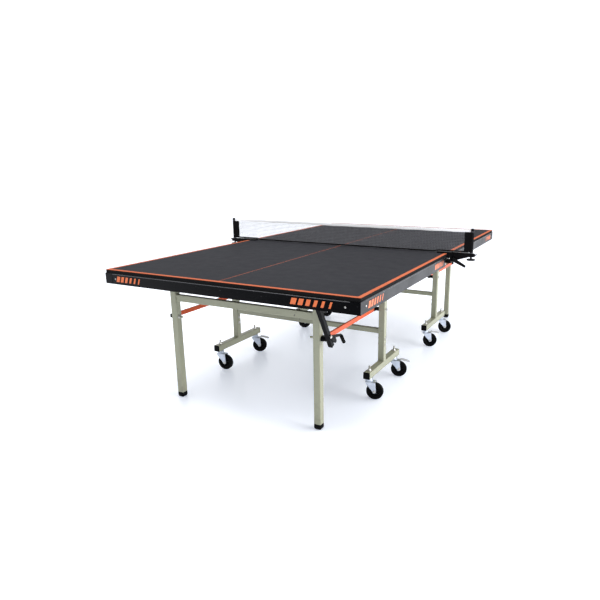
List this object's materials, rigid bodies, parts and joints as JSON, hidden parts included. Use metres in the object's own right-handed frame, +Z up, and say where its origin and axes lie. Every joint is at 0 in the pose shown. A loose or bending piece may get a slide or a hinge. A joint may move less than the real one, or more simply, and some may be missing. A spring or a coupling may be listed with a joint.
{
  "type": "table tennis table",
  "caption": "Table-tennis table in two folding halves on castors, with fold-away end legs, a black steel rim and a clamped net.",
  "frame": {"origin": "on the floor under the middle of the table, below the middle of the net line", "axes": "+Y along the table's length from the near half to the far half, +X across it, +Z up"},
  "size_m": [1.884, 2.745, 0.9175],
  "materials": {
    "playing_surface": "matte blue-black lacquer with orange lines",
    "apron_steel": "satin black",
    "black_steel": "satin black",
    "cream_steel": "satin pebble grey",
    "red_steel": "satin orange-red",
    "black_rubber": "matte",
    "zinc_steel": "bright zinc",
    "wheel_nylon": "matte black",
    "pedal_grey": "matte",
    "black_nylon": "satin black",
    "net_cord": "knotted black mesh with a white top tape"
  },
  "bodies": {
    "near_carriage": {"near_t_leg_left": "cream_steel", "near_t_leg_right": "cream_steel", "near_carriage_bar": "cream_steel"},
    "near_top": {"near_board": "playing_surface", "near_apron": "apron_steel", "near_rail_left": "black_steel", "near_rail_right": "black_steel", "near_lock_arm": "black_steel", "net_post_left": "black_nylon", "net_post_right": "black_nylon", "net": "net_cord"},
    "near_legs": {"near_end_leg_frame": "cream_steel", "near_foot_left": "black_rubber", "near_foot_right": "black_rubber"},
    "near_links": {"near_link_left": "red_steel", "near_link_right": "red_steel"},
    "near_lock": {"near_lock_lever": "black_steel", "near_lever_grip": "black_rubber"},
    "near_castor_right_outer": {"near_castor_fork_right_outer": "zinc_steel"},
    "near_wheel_right_outer": {"near_castor_wheel_right_outer": "wheel_nylon"},
    "near_castor_right_inner": {"near_castor_fork_right_inner": "zinc_steel"},
    "near_wheel_right_inner": {"near_castor_wheel_right_inner": "wheel_nylon"},
    "near_pedal_right": {"near_brake_pedal_right_inner": "pedal_grey"},
    "near_castor_left_outer": {"near_castor_fork_left_outer": "zinc_steel"},
    "near_wheel_left_outer": {"near_castor_wheel_left_outer": "wheel_nylon"},
    "near_castor_left_inner": {"near_castor_fork_left_inner": "zinc_steel"},
    "near_wheel_left_inner": {"near_castor_wheel_left_inner": "wheel_nylon"},
    "near_pedal_left": {"near_brake_pedal_left_inner": "pedal_grey"},
    "far_carriage": {"far_t_leg_left": "cream_steel", "far_t_leg_right": "cream_steel", "far_carriage_bar": "cream_steel"},
    "far_top": {"far_board": "playing_surface", "far_apron": "apron_steel", "far_rail_left": "black_steel", "far_rail_right": "black_steel", "far_lock_arm": "black_steel"},
    "far_legs": {"far_end_leg_frame": "cream_steel", "far_foot_left": "black_rubber", "far_foot_right": "black_rubber"},
    "far_links": {"far_link_left": "red_steel", "far_link_right": "red_steel"},
    "far_lock": {"far_lock_lever": "black_steel", "far_lever_grip": "black_rubber"},
    "far_castor_right_outer": {"far_castor_fork_right_outer": "zinc_steel"},
    "far_wheel_right_outer": {"far_castor_wheel_right_outer": "wheel_nylon"},
    "far_castor_right_inner": {"far_castor_fork_right_inner": "zinc_steel"},
    "far_wheel_right_inner": {"far_castor_wheel_right_inner": "wheel_nylon"},
    "far_pedal_right": {"far_brake_pedal_right_inner": "pedal_grey"},
    "far_castor_left_outer": {"far_castor_fork_left_outer": "zinc_steel"},
    "far_wheel_left_outer": {"far_castor_wheel_left_outer": "wheel_nylon"},
    "far_castor_left_inner": {"far_castor_fork_left_inner": "zinc_steel"},
    "far_wheel_left_inner": {"far_castor_wheel_left_inner": "wheel_nylon"},
    "far_pedal_left": {"far_brake_pedal_left_inner": "pedal_grey"},
    "net_lever_left": {"net_clamp_lever_left": "black_nylon"},
    "net_knob_body_left": {"net_knob_left": "black_nylon"},
    "net_lever_right": {"net_clamp_lever_right": "black_nylon"},
    "net_knob_body_right": {"net_knob_right": "black_nylon"}
  },
  "joints": [
    {"name": "fold_near", "type": "hinge", "parent": "near_carriage", "child": "near_top", "pos_m": [0, -0.475, 0.715], "axis": [-1, 0, 0], "range_deg": [0, 90], "deforming": ["net"]},
    {"name": "leg_fold_near", "type": "hinge", "parent": "near_top", "child": "near_legs", "pos_m": [0, -1.125, 0.715], "axis": [1, 0, 0], "range_deg": [0, 90]},
    {"name": "link_fold_near", "type": "hinge", "parent": "near_carriage", "child": "near_links", "pos_m": [0, -0.53, 0.485], "axis": [-1, 0, 0], "range_deg": [0, 90]},
    {"name": "lock_near", "type": "hinge", "parent": "near_top", "child": "near_lock", "pos_m": [0.5425, -1.2192, 0.515], "axis": [1, 0, 0], "range_deg": [0, 35]},
    {"name": "swivel_near_right_outer", "type": "hinge", "parent": "near_carriage", "child": "near_castor_right_outer", "pos_m": [0.532, -0.719, 0.12], "axis": [0, 0, 1], "continuous": true},
    {"name": "wheel_near_right_outer", "type": "hinge", "parent": "near_castor_right_outer", "child": "near_wheel_right_outer", "pos_m": [0.56548, -0.7131, 0.05], "axis": [0.1736, -0.9848, 0], "continuous": true},
    {"name": "swivel_near_right_inner", "type": "hinge", "parent": "near_carriage", "child": "near_castor_right_inner", "pos_m": [0.532, -0.327, 0.12], "axis": [0, 0, 1], "continuous": true},
    {"name": "wheel_near_right_inner", "type": "hinge", "parent": "near_castor_right_inner", "child": "near_wheel_right_inner", "pos_m": [0.56468, -0.31763, 0.05], "axis": [0.2756, -0.9613, 0], "continuous": true},
    {"name": "pedal_near_right", "type": "hinge", "parent": "near_castor_right_inner", "child": "near_pedal_right", "pos_m": [0.57478, -0.31473, 0.113], "axis": [-0.2756, 0.9613, 0], "range_deg": [0, 12]},
    {"name": "swivel_near_left_outer", "type": "hinge", "parent": "near_carriage", "child": "near_castor_left_outer", "pos_m": [-0.532, -0.719, 0.12], "axis": [0, 0, 1], "continuous": true},
    {"name": "wheel_near_left_outer", "type": "hinge", "parent": "near_castor_left_outer", "child": "near_wheel_left_outer", "pos_m": [-0.49833, -0.71427, 0.05], "axis": [0.1392, -0.9903, 0], "continuous": true},
    {"name": "swivel_near_left_inner", "type": "hinge", "parent": "near_carriage", "child": "near_castor_left_inner", "pos_m": [-0.532, -0.327, 0.12], "axis": [0, 0, 1], "continuous": true},
    {"name": "wheel_near_left_inner", "type": "hinge", "parent": "near_castor_left_inner", "child": "near_wheel_left_inner", "pos_m": [-0.50048, -0.31426, 0.05], "axis": [0.3746, -0.9272, 0], "continuous": true},
    {"name": "pedal_near_left", "type": "hinge", "parent": "near_castor_left_inner", "child": "near_pedal_left", "pos_m": [-0.49074, -0.31033, 0.113], "axis": [-0.3746, 0.9272, 0], "range_deg": [0, 12]},
    {"name": "half_separation", "type": "slide", "parent": "near_carriage", "child": "far_carriage", "axis": [0, 1, 0], "range_m": [0, 0.6]},
    {"name": "fold_far", "type": "hinge", "parent": "far_carriage", "child": "far_top", "pos_m": [0, 0.475, 0.715], "axis": [1, 0, 0], "range_deg": [0, 90]},
    {"name": "leg_fold_far", "type": "hinge", "parent": "far_top", "child": "far_legs", "pos_m": [0, 1.125, 0.715], "axis": [-1, 0, 0], "range_deg": [0, 90]},
    {"name": "link_fold_far", "type": "hinge", "parent": "far_carriage", "child": "far_links", "pos_m": [0, 0.53, 0.485], "axis": [1, 0, 0], "range_deg": [0, 90]},
    {"name": "lock_far", "type": "hinge", "parent": "far_top", "child": "far_lock", "pos_m": [-0.5425, 1.2192, 0.515], "axis": [-1, 0, 0], "range_deg": [0, 35]},
    {"name": "swivel_far_right_outer", "type": "hinge", "parent": "far_carriage", "child": "far_castor_right_outer", "pos_m": [0.532, 0.719, 0.12], "axis": [0, 0, 1], "continuous": true},
    {"name": "wheel_far_right_outer", "type": "hinge", "parent": "far_castor_right_outer", "child": "far_wheel_right_outer", "pos_m": [0.56306, 0.73283, 0.05], "axis": [0.4067, -0.9135, 0], "continuous": true},
    {"name": "swivel_far_right_inner", "type": "hinge", "parent": "far_carriage", "child": "far_castor_right_inner", "pos_m": [0.532, 0.327, 0.12], "axis": [0, 0, 1], "continuous": true},
    {"name": "wheel_far_right_inner", "type": "hinge", "parent": "far_castor_right_inner", "child": "far_wheel_right_inner", "pos_m": [0.56256, 0.34191, 0.05], "axis": [0.4384, -0.8988, 0], "continuous": true},
    {"name": "pedal_far_right", "type": "hinge", "parent": "far_castor_right_inner", "child": "far_pedal_right", "pos_m": [0.572, 0.34651, 0.113], "axis": [-0.4384, 0.8988, 0], "range_deg": [0, 12]},
    {"name": "swivel_far_left_outer", "type": "hinge", "parent": "far_carriage", "child": "far_castor_left_outer", "pos_m": [-0.532, 0.719, 0.12], "axis": [0, 0, 1], "continuous": true},
    {"name": "wheel_far_left_outer", "type": "hinge", "parent": "far_castor_left_outer", "child": "far_wheel_left_outer", "pos_m": [-0.50713, 0.74219, 0.05], "axis": [0.682, -0.7314, 0], "continuous": true},
    {"name": "swivel_far_left_inner", "type": "hinge", "parent": "far_carriage", "child": "far_castor_left_inner", "pos_m": [-0.532, 0.327, 0.12], "axis": [0, 0, 1], "continuous": true},
    {"name": "wheel_far_left_inner", "type": "hinge", "parent": "far_castor_left_inner", "child": "far_wheel_left_inner", "pos_m": [-0.50925, 0.35227, 0.05], "axis": [0.7431, -0.6691, 0], "continuous": true},
    {"name": "pedal_far_left", "type": "hinge", "parent": "far_castor_left_inner", "child": "far_pedal_left", "pos_m": [-0.50222, 0.36007, 0.113], "axis": [-0.7431, 0.6691, 0], "range_deg": [0, 12]},
    {"name": "clamp_lever_left", "type": "hinge", "parent": "near_top", "child": "net_lever_left", "pos_m": [-0.803, -0.035, 0.722], "axis": [0, -1, 0], "range_deg": [0, 60]},
    {"name": "knob_left", "type": "hinge", "parent": "near_top", "child": "net_knob_body_left", "pos_m": [-0.906, -0.014, 0.73], "axis": [0, 0, 1], "continuous": true},
    {"name": "clamp_lever_right", "type": "hinge", "parent": "near_top", "child": "net_lever_right", "pos_m": [0.803, -0.035, 0.722], "axis": [0, 1, 0], "range_deg": [0, 60]},
    {"name": "knob_right", "type": "hinge", "parent": "near_top", "child": "net_knob_body_right", "pos_m": [0.906, -0.014, 0.73], "axis": [0, 0, 1], "continuous": true}
  ],
  "couplings": [
    {"joint": "leg_fold_near", "follows": "fold_near", "ratio": 1},
    {"joint": "link_fold_near", "follows": "fold_near", "ratio": 1},
    {"joint": "leg_fold_far", "follows": "fold_far", "ratio": 1},
    {"joint": "link_fold_far", "follows": "fold_far", "ratio": 1}
  ]
}
